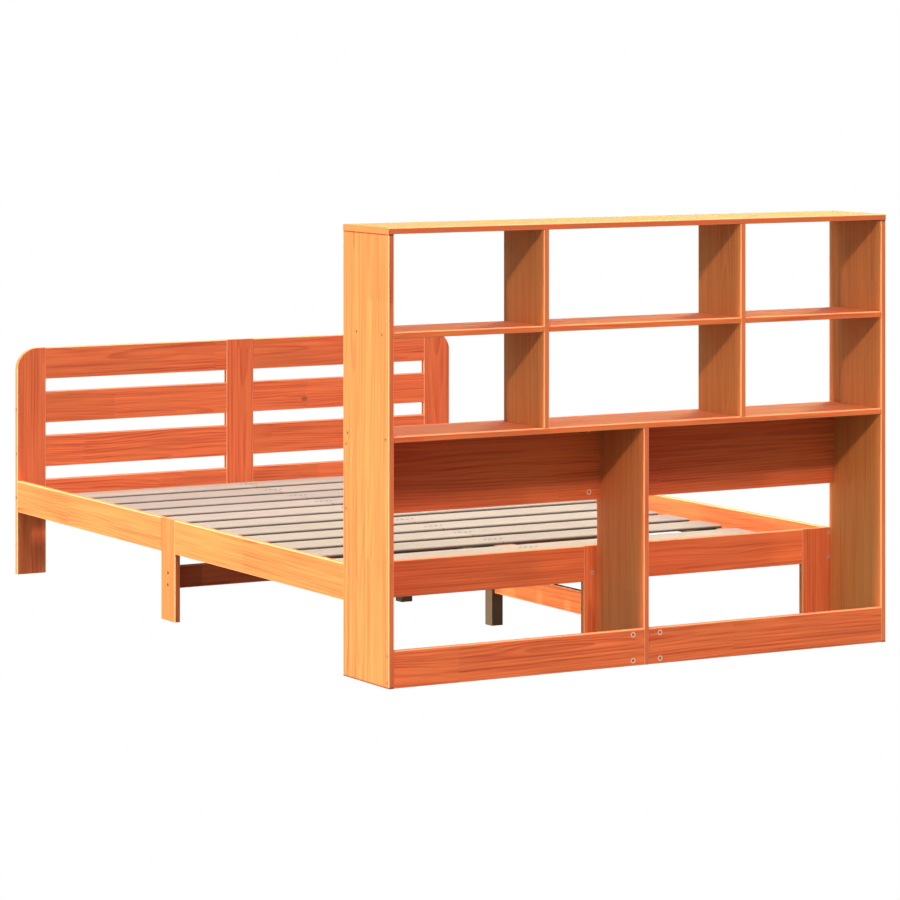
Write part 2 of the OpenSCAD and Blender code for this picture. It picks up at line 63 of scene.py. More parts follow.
# Painted light and shade: how a board's colour is shifted from the usual stain, by the start
# of the board's name, to stand in for the light and shade it gets, such as the darker cross
# beam in the shade under the bed and the lighter head rails.
PAINTED_LIGHT_TINTS = {
    "head_rail": (1.12, 1.12, 1.12),
    "base_board": (1.04, 1.04, 1.04),
    "foot_": (0.96, 0.96, 1.10),
    "cross_beam": (0.57, 0.48, 0.52),
    "upper_divider": (0.96, 1.20, 1.15),
    "lower_divider": (0.93, 1.00, 1.10),
    "case_side_right": (0.95, 1.20, 1.18),
    "upper_shelf": (1.04, 1.09, 0.92),
    "lower_shelf": (1.04, 1.09, 0.92),
    "side_rail_right": (1.00, 1.20, 1.45),
}
USUAL_TINT = (1.0, 1.0, 1.0)

# How strongly a board's grain shows, by the start of the board's name.
CONTRAST = {
    "case_top": 0.25,
    "case_side_right": 0.55,
    "upper_divider": 0.55,
    "lower_divider": 0.6,
    "base_board": 1.5,
    "foot_board": 1.3,
}

# Colours of small places in the wood.
STAINED_KNOT = (0.20, 0.04, 0.014, 1)
ROUGH_KNOT = (0.10, 0.055, 0.03, 1)
BARE_RIM = (0.82, 0.54, 0.31, 1)
# The slat flank colour is painted shade on the lower part of a slat's sides, in the gaps.
SLAT_FLANK_SHADE = (0.20, 0.095, 0.045, 1)

# Colours of the steel.
BRIGHT_STEEL = (0.66, 0.54, 0.40)
STEEL_COLOURS = {
    "side_screws": (0.24, 0.09, 0.028),
    "post_screws": (0.05, 0.03, 0.02),
    "cross_nuts": (0.55, 0.27, 0.13),
}
SMALL_SCREW_STEEL = (0.020, 0.014, 0.010)

# Metallic and specular level of the plated heads that have a recess, and of the dull screws.
PLATED = (0.5, 0.5)
DULL = (0.15, 0.2)

# Waves in a metre, along a board and across it, of each noise in its grain.
DRIFT_WAVES = (1.3, 7.0)
WAVER_WAVES = (5.0, 26.0)
FIBRE_WAVES = (9.0, 420.0)
STREAK_WAVES = (2.8, 100.0)
BLOTCH_WAVES = (4.5, 11.0)

# The pith that a strip's growth rings turn about: the range of its place across the strip, its
# least depth and the range below that, and how far it leans and sinks in a metre of board.
PITH_ACROSS = 0.15
PITH_DEPTH = 0.006
PITH_DEEPER = 0.05
PITH_LEAN = 0.06
PITH_SINK = 0.05

# Finger joints: the width of a finger's slanted side, and how far it runs for that width.
FINGER_WIDTH = 0.0035
FINGER_SLOPE = 2.4

# Knots: length and width of the patch that may hold one, and the distances from its middle, as
# shares of the patch, at which it starts and is full.
KNOT_PATCH = (0.15, 0.10)
KNOT_EDGES = (0.085, 0.05)

# Distances at which a mark on the wood starts and is full. WORN_AND_LIT_EDGES is measured from a board's
# long edges, END_LINE and END_FACE from its end, NUT_RIM from the middle of a cross nut,
# FLANK_INSIDE from a slat's long side, FLANK_UNDER from its top, FAR_EDGE from its far edge and
# SLAT_SEAM from the middle of the bed.
WORN_AND_LIT_EDGES = (0.0031, 0.0018)
END_LINE = (0.0042, 0.0028)
END_FACE = (0.00002, 0.0002)
NUT_RIM = (0.0070, 0.0060)
FLANK_INSIDE = (0.0012, 0.0002)
FLANK_UNDER = (0.0065, 0.003)
FAR_EDGE = (0.016, 0.003)
SLAT_SEAM = (0.0018, 0.0008)

# Depths under a steel head's face over which its recess turns dark as painted shade, and
# distances from the outermost faces over which the heads turn bright.
RECESS_SHADE = (0.0002, 0.0008)
INNER_BRIGHT = (0.001, 0.004)

# Corners of one cross nut lie nearer together than this, and its face is this near the wood's.
NUT_SPAN = 0.012
FLUSH = 0.0003

# Neighbouring corners of the slats that lie further apart than this along Y, after rounding to
# a tenth of a millimetre, have a slat's width or a gap between them.
SLAT_JUMP = 0.015

# The seeds of two boards that follow each other differ by this.
SEED_STEP = 3.7

# Width of the bevel on the boards' sharp edges, and depth of the fine marks in wood and steel.
BOARD_BEVEL = 0.0007
WOOD_BUMP = 0.0006
STEEL_BUMP = 0.0002

# A small screw's head from its rim inward, as shares of its radius and of its rise. Inside the
# given share of the radius, every fourth corner is drawn out to an arm of the cross recess.
HEAD_PROFILE = ((1.0, 0.0), (0.96, 0.7), (0.88, 1.0), (0.42, 0.85), (0.30, 0.15))
HEAD_SIDES = 16
RECESS_INSIDE = 0.5
RECESS_ARM = 1.7

# The stage: the floor lies a little under the legs, and the floor's light has its own colour.
FLOOR_RADIUS = 40.0
BACKDROP_RADIUS = 45.0
FLOOR_DROP = 0.0005
FLOOR_GLOW = (0.94, 0.98, 1.0)


def chosen(table, name, usual):
    """What a table of name starts gives a board, or the usual value."""
    return next((value for start, value in table.items() if name.startswith(start)), usual)


def named(prefixes):
    """The CAD nodes whose names start with one of the prefixes, in order."""
    return [name for name in sorted(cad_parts) if name.startswith(tuple(prefixes))]


class Field:
    """A number that varies over a surface: one socket, with the usual signs for its maths."""

    def __init__(self, graph, socket):
        self.graph = graph
        self.socket = socket

    def math(self, operation, *others):
        """A Math node of this field and the others."""
        return self.graph.math(operation, self, *others)

    def __add__(self, other):
        return self.math("ADD", other)

    def __radd__(self, other):
        return self.graph.math("ADD", other, self)

    def __sub__(self, other):
        return self.math("SUBTRACT", other)

    def __rsub__(self, other):
        return self.graph.math("SUBTRACT", other, self)

    def __mul__(self, other):
        return self.math("MULTIPLY", other)

    def __rmul__(self, other):
        return self.graph.math("MULTIPLY", other, self)

    def __truediv__(self, other):
        return self.math("DIVIDE", other)

    def __rtruediv__(self, other):
        return self.graph.math("DIVIDE", other, self)

    def __neg__(self):
        return self.math("MULTIPLY", -1.0)

    def __abs__(self):
        return self.math("ABSOLUTE")

    def step(self, low, high):
        """0 below low, 1 above high and smooth between them. Low may be above high."""
        node = self.graph.node(
            "ShaderNodeMapRange",
            {"interpolation_type": "SMOOTHSTEP"},
            {"Value": self, "From Min": low, "From Max": high},
        )
        return Field(self.graph, node.outputs["Result"])


class Graph:
    """The nodes of a material or of the world, all made in one way."""

    def __init__(self, owner, shader="Principled BSDF"):
        owner.use_nodes = True
        self.owner = owner
        self.tree = owner.node_tree
        self.shader = self.tree.nodes[shader]

    def node(self, kind, settings=None, values=None):
        """A node with its settings, and with its inputs set or linked by name or number."""
        made = self.tree.nodes.new(kind)
        for key, value in (settings or {}).items():
            setattr(made, key, value)
        for key, value in (values or {}).items():
            self.put(made.inputs[key], value)
        return made

    def put(self, socket, value):
        """Links a field or a socket, or sets a plain value."""
        if isinstance(value, Field):
            self.tree.links.new(value.socket, socket)
        elif isinstance(value, bpy.types.NodeSocket):
            self.tree.links.new(value, socket)
        else:
            socket.default_value = value

    def math(self, operation, *values):
        """A Math node as a field."""
        node = self.node("ShaderNodeMath", {"operation": operation}, dict(enumerate(values)))
        return Field(self, node.outputs[0])

    def vector(self, x, y, z):
        """Three fields or numbers as one vector socket."""
        return self.node("ShaderNodeCombineXYZ", values={0: x, 1: y, 2: z}).outputs[0]

    def split(self, vector):
        """The three fields of a vector or colour socket."""
        node = self.node("ShaderNodeSeparateXYZ", values={0: vector})
        return [Field(self, output) for output in node.outputs]

    def position(self):
        """The place on the object, in the model's own frame."""
        return self.split(self.node("ShaderNodeTexCoord").outputs["Object"])

    def noise(self, x, y, z, detail=2.0):
        """Smooth noise about zero, from -0.5 to 0.5."""
        node = self.node(
            "ShaderNodeTexNoise",
            values={"Vector": self.vector(x, y, z), "Scale": 1.0, "Detail": detail},
        )
        return Field(self, node.outputs["Fac"]) - 0.5

    def chance(self, x, y, z):
        """Three random fields from 0 to 1, one set for each whole-number place."""
        node = self.node("ShaderNodeTexWhiteNoise", values={"Vector": self.vector(x, y, z)})
        return self.split(node.outputs["Color"])

    def mix(self, factor, first, second):
        """A colour between two others."""
        node = self.node(
            "ShaderNodeMix", {"data_type": "RGBA"}, {0: factor, 6: first, 7: second}
        )
        return node.outputs[2]

    def scaled(self, colour, factor):
        """A colour made lighter or darker."""
        node = self.node(
            "ShaderNodeVectorMath", {"operation": "SCALE"}, {0: colour, "Scale": factor}
        )
        return node.outputs[0]

    def added(self, first, second):
        """The sum of two colours."""
        node = self.node("ShaderNodeVectorMath", {"operation": "ADD"}, {0: first, 1: second})
        return node.outputs[0]

    def finish(self, colour, roughness, height, depth, strength):
        """Joins the colour, roughness and height of the surface to the shader."""
        bump = self.node(
            "ShaderNodeBump", values={"Height": height, "Distance": depth, "Strength": strength}
        )
        self.put(self.shader.inputs["Base Color"], colour)
        self.put(self.shader.inputs["Roughness"], roughness)
        self.put(self.shader.inputs["Normal"], bump.outputs[0])
        return self.owner


class BedLooks(bpy.types.PropertyGroup):
    """Colours and grain of the wood, and the small screws."""

    stain_light: FloatVectorProperty(
        name="Stain, early wood",
        description="Colour of the stained pine between its growth rings",
        default=(0.66, 0.136, 0.031),
        subtype="COLOR",
    )
    stain_dark: FloatVectorProperty(
        name="Stain, late wood",
        description="Colour of the stained pine's growth rings",
        default=(0.46, 0.066, 0.016),
        subtype="COLOR",
    )
    # The worn colour is both the rubbed stain and a painted highlight on the rounded edges.
    stain_worn_and_lit: FloatVectorProperty(
        name="Stain, worn edges",
        description="Colour of the stained pine where its edges are rubbed",
        default=(0.85, 0.30, 0.12),
        subtype="COLOR",
    )
    plain_light: FloatVectorProperty(
        name="Plain, early wood",
        description="Colour of the unstained pine between its growth rings",
        default=(0.150, 0.123, 0.087),
        subtype="COLOR",
    )
    plain_dark: FloatVectorProperty(
        name="Plain, late wood",
        description="Colour of the unstained pine's growth rings",
        default=(0.110, 0.083, 0.054),
        subtype="COLOR",
    )
    leg_light: FloatVectorProperty(
        name="Supports, early wood",
        description="Colour of the rough pine of the centre legs, beam and ledges",
        default=(0.165, 0.078, 0.035),
        subtype="COLOR",
    )
    leg_dark: FloatVectorProperty(
        name="Supports, late wood",
        description="Colour of the rough pine's growth rings",
        default=(0.115, 0.050, 0.022),
        subtype="COLOR",
    )
    stave_width: FloatProperty(
        name="Stave width",
        description="Width of the strips that a board is glued up from",
        default=0.13,
        unit="LENGTH",
    )
    stave_length: FloatProperty(
        name="Stave length",
        description="Distance between two finger joints in a strip",
        default=0.62,
        unit="LENGTH",
    )
    ring_pitch: FloatProperty(
        name="Ring pitch",
        description="Distance between two growth rings",
        default=0.0075,
        unit="LENGTH",
    )
    # How pale the rounded edges are, for wear and for a painted highlight alike.
    edge_wear_and_light: FloatProperty(
        name="Edge wear",
        description="How much the rounded edges are rubbed",
        default=0.55,
        min=0.0,
        max=1.0,
        subtype="FACTOR",
    )
    screw_radius: FloatProperty(
        name="Screw head radius",
        description="Radius of the small screws in the slats and ledges",
        default=0.0038,
        unit="LENGTH",
    )
    screw_rise: FloatProperty(
        name="Screw head rise",
        description="How far the small screws stand out of the wood",
        default=0.0004,
        unit="LENGTH",
    )
    slat_screw_x: FloatProperty(
        name="Slat screw distance",
        description="Distance of a slat's first screw from the middle of the bed",
        default=0.009,
        unit="LENGTH",
    )
    slat_screw_step: FloatProperty(
        name="Slat screw spacing",
        description="Distance between the two screws of a slat",
        default=0.015,
        unit="LENGTH",
    )
    ledge_screws: IntProperty(
        name="Ledge screws",
        description="Screws in each ledge",
        default=5,
        min=2,
    )


class BedStage(bpy.types.PropertyGroup):
    """The camera and the lights."""

    camera_place: FloatVectorProperty(
        name="Camera place",
        description="Where the camera stands",
        default=(-5.13525, -9.15330, 1.55260),
        subtype="XYZ",
        unit="LENGTH",
    )
    camera_turn: FloatProperty(
        name="Camera turn",
        description="How far the level camera is turned to the right of +Y",
        default=math.radians(29.695),
        subtype="ANGLE",
    )
    camera_drop: FloatProperty(
        name="Camera drop",
        description="How far the lens is shifted down, in picture widths, to keep uprights upright",
        default=0.45953,
    )
    camera_lens: FloatProperty(
        name="Camera lens",
        description="Focal length on a sensor 36 mm wide",
        default=153.984,
        subtype="DISTANCE_CAMERA",
    )
    room_above: FloatVectorProperty(
        name="Room light from above",
        description="Soft light from above",
        default=(1.20, 1.95, 2.90),
        subtype="XYZ",
    )
    room_below: FloatVectorProperty(
        name="Room light from below",
        description="Soft light from below",
        default=(0.06, 0.05, 0.05),
        subtype="XYZ",
    )
    room_front: FloatVectorProperty(
        name="Room light from the front",
        description="Soft light from the bookcase's side",
        default=(0.58, 0.42, 0.38),
        subtype="XYZ",
    )
    room_behind: FloatVectorProperty(
        name="Room light from behind",
        description="Soft light from the foot end's side",
        default=(0.24, 0.26, 0.20),
        subtype="XYZ",
    )
    room_left: FloatVectorProperty(
        name="Room light from the left",
        description="Soft light from the left",
        default=(0.15, 1.12, 1.06),
        subtype="XYZ",
    )
    room_right: FloatVectorProperty(
        name="Room light from the right",
        description="Soft light from the right",
        default=(0.23, 0.10, 0.25),
        subtype="XYZ",
    )
    key_light: FloatProperty(
        name="Key light",
        description="Strength of the main light, from above and a little from the left",
        default=12.65,
    )
    key_height: FloatProperty(
        name="Key height",
        description="Angle of the main light above the floor",
        default=math.radians(74),
        subtype="ANGLE",
    )
    side_light: FloatProperty(
        name="Side light",
        description="Strength of the low light from the left and the front",
        default=1.04,
    )
    front_light: FloatProperty(
        name="Front light",
        description="Strength of the light from the front and above",
        default=1.88,
    )
    floor_light: FloatProperty(
        name="Floor light",
        description="Strength of the light that the pale floor throws at the bed's left side",
        default=3.35,
    )
    low_light: FloatProperty(
        name="Low light",
        description="Strength of the softer part of the floor's light",
        default=1.7,
    )
    back_light: FloatProperty(
        name="Back light",
        description="Strength of the light from behind and the right",
        default=2.0,
    )


class WoodGrain:
    """The grain of one board, glued up from strips and finger joints."""

    def __init__(self, graph, node, seed, looks, staves=True):
        low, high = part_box(node)
        size = high - low
        middle = (low + high) / 2
        order = sorted(range(3), key=lambda axis: -size[axis])
        place = graph.position()
        self.graph = graph
        self.half = [size[axis] / 2 for axis in order]
        self.along, self.across, self.deep = (place[axis] - middle[axis] for axis in order)
        if staves:
            self.strips(seed, looks)
        else:
            self.tones = graph.chance(seed, 0.0, 0.0)
        self.rings(seed, looks)

    def strips(self, seed, looks):
        """Splits the board's width into strips and their length into jointed pieces."""
        graph, width = self.graph, 2 * self.half[1]
        pitch = width / max(1, round(width / looks.stave_width))
        strip = ((self.across + width / 2) / pitch).math("FLOOR")
        shift = graph.chance(strip, seed, 1.0)[0] * looks.stave_length
        fingers = self.across.math("PINGPONG", FINGER_WIDTH) * FINGER_SLOPE
        piece = ((self.along + shift + fingers) / looks.stave_length).math("FLOOR")
        self.tones = graph.chance(strip, piece, seed)

    def rings(self, seed, looks):
        """Growth rings about a pith beside the board, with fibres, streaks and blotches."""
        graph = self.graph
        pith, depth, slope = self.tones
        along, across = self.waves(DRIFT_WAVES, self.across)
        drift = graph.noise(along + seed, across, pith * 9.0)
        along, across = self.waves(WAVER_WAVES, self.across)
        waver = graph.noise(along, across + seed, depth * 7.0)
        side = (
            self.across
            + (pith - 0.5) * PITH_ACROSS
            + self.along * (slope - 0.5) * PITH_LEAN
            + drift * 0.05
            + waver * 0.006
        )
        under = (
            self.deep
            + PITH_DEPTH
            + depth * PITH_DEEPER
            + self.along * (pith - slope) * PITH_SINK
            + drift * 0.03
        )
        radius = (side * side + under * under).math("SQRT")
        years = graph.noise(radius * 60.0, seed, pith * 40.0)
        ring = (radius / looks.ring_pitch + drift * 2.5 + waver * 0.8 + years * 1.6).math("FRACT")
        self.late = ring.step(0.15, 0.90) * ring.step(1.0, 0.90) * (0.75 + years * 1.3)
        along, across, deep = self.waves(FIBRE_WAVES, self.across, self.deep)
        self.fibre = graph.noise(along, across, deep + seed, detail=3.0)
        along, across, deep = self.waves(STREAK_WAVES, self.across, self.deep)
        self.streak = graph.noise(along + seed, across + seed, deep, detail=3.0)
        along, across, deep = self.waves(BLOTCH_WAVES, self.across, self.deep)
        self.blotch = graph.noise(along + seed, across, deep, detail=4.0)

    def waves(self, in_metre, *crosswise):
        """The place along the board and some places across it, counted in a noise's waves."""
        return [self.along * in_metre[0], *(place * in_metre[1] for place in crosswise)]

    def knots(self, seed, share):
        """A field that is 1 in each knot, with the given share of patches holding one."""
        graph = self.graph
        length, width = KNOT_PATCH
        place = graph.vector(self.along / length + seed, self.across / width + seed, 0.0)
        values = {"Vector": place, "Scale": 1.0}
        cells = graph.node("ShaderNodeTexVoronoi", {"voronoi_dimensions": "2D"}, values)
        holds = graph.split(cells.outputs["Color"])[0].math("GREATER_THAN", 1.0 - share)
        reach = Field(graph, cells.outputs["Distance"]) + self.fibre * 0.02
        return reach.step(*KNOT_EDGES) * holds

    def ends(self):
        """A thin line that is 1 just before the two sawn ends, where the board meets the next."""
        gap = self.half[0] - abs(self.along)
        return gap.step(*END_LINE) * gap.step(*END_FACE)

    def worn_and_lit(self):
        """A field that is 1 on the rounded long edges of the board: rubbed wear and painted
        highlight.
        """
        gap = (self.half[1] - abs(self.across)) + (self.half[2] - abs(self.deep))
        return (gap + self.fibre * 0.0012).step(*WORN_AND_LIT_EDGES)


def new_graph(name):
    """The nodes of a new material."""
    return Graph(bpy.data.materials.new(name))


def stained(name, seed, looks):
    """Stained and waxed pine for one board."""
    graph = new_graph("Stained pine " + name)
    grain = WoodGrain(graph, name, seed, looks)
    # The board's tint is painted light and shade, not a difference in its stain.
    painted_tint = chosen(PAINTED_LIGHT_TINTS, name, USUAL_TINT)
    light, dark = (
        (*(part * share for part, share in zip(colour, painted_tint)), 1)
        for colour in (looks.stain_light, looks.stain_dark)
    )
    knot = grain.knots(seed, share=0.004)
    contrast = chosen(CONTRAST, name, 1.0)

    # The rings are strong in some places and faint in others, among dark streaks and blotches.
    strength = 0.50 + grain.blotch * 1.3 + grain.streak * 0.8
    dark_share = grain.late * strength + grain.streak * 1.1 + grain.blotch * 0.7
    dark_share = dark_share * contrast + 0.12 + (1.0 - contrast) * 0.18
    colour = graph.mix(dark_share, light, dark)
    colour = graph.mix(knot * 0.6, colour, STAINED_KNOT)

    # Each strip is a little lighter or darker than its neighbours, and so is each place in it.
    tone = grain.blotch * 0.45 - grain.streak * 0.25 + grain.fibre * 0.25
    tone = 1.01 + (grain.tones[0] * 0.13 - 0.065 + tone) * contrast
    colour = graph.scaled(colour, tone)

    # Rubbed edges, which are paler also as a painted highlight on the rounded edges, the dark
    # joint under the bookcase's top, and the rims of the cross nuts.
    wear_and_light = grain.worn_and_lit() * (1.0 if name.startswith("foot_post") else looks.edge_wear_and_light)
    colour = graph.mix(wear_and_light, colour, (*looks.stain_worn_and_lit, 1))
    if name.startswith("case_side"):
        colour = graph.scaled(colour, 1.0 - grain.ends() * 0.7)
    if name.startswith(("base_board", "back_board")):
        colour = graph.mix(nut_rims(graph, name) * 0.85, colour, BARE_RIM)

    roughness = 0.56 + grain.late * 0.05 + grain.fibre * 0.12 - wear_and_light * 0.08
    height = grain.fibre * 0.7 - grain.late * 0.35 - knot * 0.3
    graph.put(graph.shader.inputs["Specular IOR Level"], 0.2)
    return graph.finish(colour, roughness, height, WOOD_BUMP, 0.2 * contrast)


def nut_spots(board):
    """The middles (x, z) of the cross nuts in a board's front face, from their own corners."""
    low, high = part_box(board)
    groups = []
    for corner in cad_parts["cross_nuts"].data.vertices:
        x, y, z = corner.co
        if abs(y - low.y) > FLUSH or not (low.x < x < high.x and low.z < z < high.z):
            continue
        for group in groups:
            if math.hypot(group[0][0] - x, group[0][1] - z) < NUT_SPAN:
                group.append((x, z))
                break
        else:
            groups.append([(x, z)])
    return [[sum(part) / len(group) for part in zip(*group)] for group in groups]


def nut_rims(graph, board):
    """A field that is 1 in the bare countersunk rim round each cross nut of a board."""
    x, _, z = graph.position()
    rims = 0.0
    for nut_x, nut_z in nut_spots(board):
        reach = ((x - nut_x) * (x - nut_x) + (z - nut_z) * (z - nut_z)).math("SQRT")
        rims = rims + reach.step(*NUT_RIM)
    return rims


def plain(name, seed, looks):
    """Rough plain pine for one board."""
    graph = new_graph("Plain pine " + name)
    grain = WoodGrain(graph, name, seed, looks, staves=False)
    light, dark = (*looks.leg_light, 1), (*looks.leg_dark, 1)
    knot = grain.knots(seed, share=0.05)
    colour = graph.mix(grain.late * (0.45 + grain.blotch * 0.5), light, dark)
    colour = graph.mix(knot * 0.7, colour, ROUGH_KNOT)
    colour = graph.scaled(colour, 1.0 + grain.blotch * 0.22 + grain.fibre * 0.25)
    roughness = 0.66 + grain.fibre * 0.14
    height = grain.fibre - grain.late * 0.3
    graph.put(graph.shader.inputs["Specular IOR Level"], 0.3)
    return graph.finish(colour, roughness, height, WOOD_BUMP, 0.4)


def slat_wood(name, seed, looks):
    """Plain sanded pine for the slats of one side, each slat with its own tone."""
    graph = new_graph("Plain pine " + name)
    x, y, z = graph.position()
    rows = slat_rows()
    pitch = rows[-1] - rows[-2]
    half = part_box(name)[1].y - rows[-1]
    row = ((y - rows[-1] + pitch / 2) / pitch).math("FLOOR")
    pith, depth, slope = graph.chance(row, seed, 3.0)
    drift = graph.noise(x * 2.0 + pith * 20.0, y * 7.0, seed)
    side = (y - row * pitch) + (pith - 0.5) * 0.3 + x * (slope - 0.5) * 0.12 + drift * 0.03
    under = z + depth * 0.06
    radius = (side * side + under * under).math("SQRT")
    ring = (radius / looks.ring_pitch).math("FRACT")
    late = ring.step(0.35, 0.93) * ring.step(1.0, 0.95)
    fibre = graph.noise(x * 9.0, y * 600.0, z * 600.0, detail=3.0)
    blotch = graph.noise(x * 4.0, y * 14.0, pith * 9.0, detail=3.0)
    light, dark = (*looks.plain_light, 1), (*looks.plain_dark, 1)
    colour = graph.mix(late * (0.35 + blotch * 0.5), light, dark)

    # Distances from the middle of the nearest slat and from the nearest far edge.
    gap = abs(y - rows[0])
    far = abs(y - (rows[0] + half))
    for middle in rows[1:]:
        gap = gap.math("MINIMUM", abs(y - middle))
        far = far.math("MINIMUM", abs(y - (middle + half)))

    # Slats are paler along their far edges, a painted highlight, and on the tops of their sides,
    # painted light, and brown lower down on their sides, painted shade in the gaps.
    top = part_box(name)[1].z
    flank = gap.step(*(half - inside for inside in FLANK_INSIDE))
    upper = z.step(*(top - under for under in FLANK_UNDER))
    seam = abs(x).step(*SLAT_SEAM)
    tone = 0.93 + slope * 0.14 + blotch * 0.3 + fibre * 0.25
    pale = flank * upper * 0.5 + far.step(*FAR_EDGE) * 0.22
    colour = graph.scaled(colour, tone * (1.0 + pale) * (1.0 - seam * 0.6))
    colour = graph.mix(flank * (1.0 - upper) * 0.3, colour, SLAT_FLANK_SHADE)

    roughness = 0.68 + fibre * 0.14
    graph.put(graph.shader.inputs["Specular IOR Level"], 0.3)
    return graph.finish(colour, roughness, fibre - late * 0.3, WOOD_BUMP, 0.4)


def steel(name, colour, roughness, faces=()):
    """Zinc-plated steel with fine turning marks and dull spots.

    Faces are the places (axis, value) that the heads lie flush with. What lies deeper, in the
    hexagon recess, is darkened as painted shade, and the heads in the bed's two outer sides are
    dark too.
    """
    graph = new_graph(name)
    place = graph.position()
    x, y, z = place
    marks = graph.noise(x * 900.0, y * 900.0, z * 900.0, detail=3.0)
    spots = graph.noise(x * 160.0, y * 160.0, z * 160.0, detail=2.0)
    shade = graph.scaled(colour, 1.0 + spots * 0.35 + marks * 0.15)
    if faces:
        depth = abs(place[faces[0][0]] - faces[0][1])
        for axis, value in faces[1:]:
            depth = depth.math("MINIMUM", abs(place[axis] - value))
        # Painted shade: the hexagon recess is darkened by its depth under the head's face.
        shade = graph.scaled(shade, 1.0 - depth.step(*RECESS_SHADE) * 0.92)
        outer = abs(abs(x) - max(abs(value) for axis, value in faces if axis == 0))
        shade = graph.scaled(shade, 0.12 + outer.step(*INNER_BRIGHT) * 0.88)
    metallic, specular = PLATED if faces else DULL
    graph.put(graph.shader.inputs["Metallic"], metallic)
    graph.put(graph.shader.inputs["Specular IOR Level"], specular)
    roughness = roughness + spots * 0.25 + marks * 0.1
    return graph.finish(shade, roughness, marks, STEEL_BUMP, 0.3)


def slat_rows():
    """The middles of the rows of slats, along Y, read from the slats' own corners."""
    edges = sorted({round(v.co.y, 4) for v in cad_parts["slats_left"].data.vertices})
    jumps = [k for k in range(1, len(edges)) if edges[k] - edges[k - 1] > SLAT_JUMP]
    starts = [edges[0]] + [edges[k] for k in jumps[1::2]]
    ends = [edges[k - 1] for k in jumps[1::2]] + [edges[-1]]
    return [(start + end) / 2 for start, end in zip(starts, ends)]


def dress(name, material, bevel=0.0):
    """Gives a CAD node its material, and softens its sharp edges where asked."""
    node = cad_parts[name]
    node.data.materials.clear()
    node.data.materials.append(material)
    if bevel:
        soft = node.modifiers.new("Soft edges", "BEVEL")
        soft.width = bevel
        soft.segments = 2
        soft.limit_method = "ANGLE"
        soft.angle_limit = math.radians(50)
        soft.harden_normals = True


def screw_heads(name, spots, looks):
    """Countersunk heads at each (place, direction out of the wood), as one mesh."""
    mesh = bmesh.new()
    for place, outward in spots:
        turn = Vector(outward).to_track_quat("Z", "Y").to_matrix().to_4x4()
        matrix = Matrix.Translation(place) @ turn
        loops = []
        for share, lift in HEAD_PROFILE:
            loop = []
            for k in range(HEAD_SIDES):
                arm = RECESS_ARM if share < RECESS_INSIDE and k % 4 == 0 else 1.0
                reach = looks.screw_radius * share * arm
                angle = 2 * math.pi * k / HEAD_SIDES
                point = (reach * math.cos(angle), reach * math.sin(angle), looks.screw_rise * lift)
                loop.append(mesh.verts.new(matrix @ Vector(point)))
            loops.append(loop)
        for inner, outer in zip(loops[1:], loops):
            for k in range(HEAD_SIDES):
                following = (k + 1) % HEAD_SIDES
                mesh.faces.new((outer[k], outer[following], inner[following], inner[k]))
        mesh.faces.new(loops[-1])
    data = bpy.data.meshes.new(name)
    mesh.to_mesh(data)
    mesh.free()
    piece = bpy.data.objects.new(name, data)
    bpy.context.scene.collection.objects.link(piece)
    return piece


class Maker:
    """What every maker of pieces shares."""

    bl_options = {"REGISTER", "UNDO"}

    def boards(self, context, starts, make):
        """Gives each board its own grain, which follows from its place in the list of nodes."""
        for name in named(starts):
            seed = SEED_STEP * sorted(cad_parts).index(name)
            dress(name, make(name, seed, context.scene.bed_looks), BOARD_BEVEL)
        return {"FINISHED"}


class BED_OT_bookcase(Maker, bpy.types.Operator):
    """Stained pine for the bookcase's boards"""

    bl_idname = "bed.bookcase"
    bl_label = "Bookcase"

    def execute(self, context):
        return self.boards(context, BOOKCASE_NODES, stained)


class BED_OT_bed_boards(Maker, bpy.types.Operator):
    """Stained pine for the bed's ends, side rails, middle legs and low beams"""

    bl_idname = "bed.bed_boards"
    bl_label = "Bed boards"

    def execute(self, context):
        return self.boards(context, BED_NODES, stained)


class BED_OT_slats(Maker, bpy.types.Operator):
    """Plain pine for the slats"""

    bl_idname = "bed.slats"
    bl_label = "Slats"

    def execute(self, context):
        return self.boards(context, ("slats",), slat_wood)


class BED_OT_supports(Maker, bpy.types.Operator):
    """Plain pine for the centre beam, the centre legs, the ledges and the dowels"""

    bl_idname = "bed.supports"
    bl_label = "Slat supports"

    def execute(self, context):
        return self.boards(context, SUPPORT_NODES, plain)


class BED_OT_fasteners(Maker, bpy.types.Operator):
    """Plated steel for the bolts, nuts, studs and large screws"""

    bl_idname = "bed.fasteners"
    bl_label = "Fasteners"

    def execute(self, context):
        for name in named(STEEL_NODES):
            low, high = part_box(name)
            faces = [(0, low.x), (0, high.x), (1, low.y), (1, high.y)]
            if name == "cross_nuts":
                faces.append((1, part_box("back_board_left")[0].y))
            if name.endswith("screws"):
                faces = ()
            colour = STEEL_COLOURS.get(name, BRIGHT_STEEL)
            dress(name, steel("Plated steel " + name, colour, 0.4, faces))
        return {"FINISHED"}


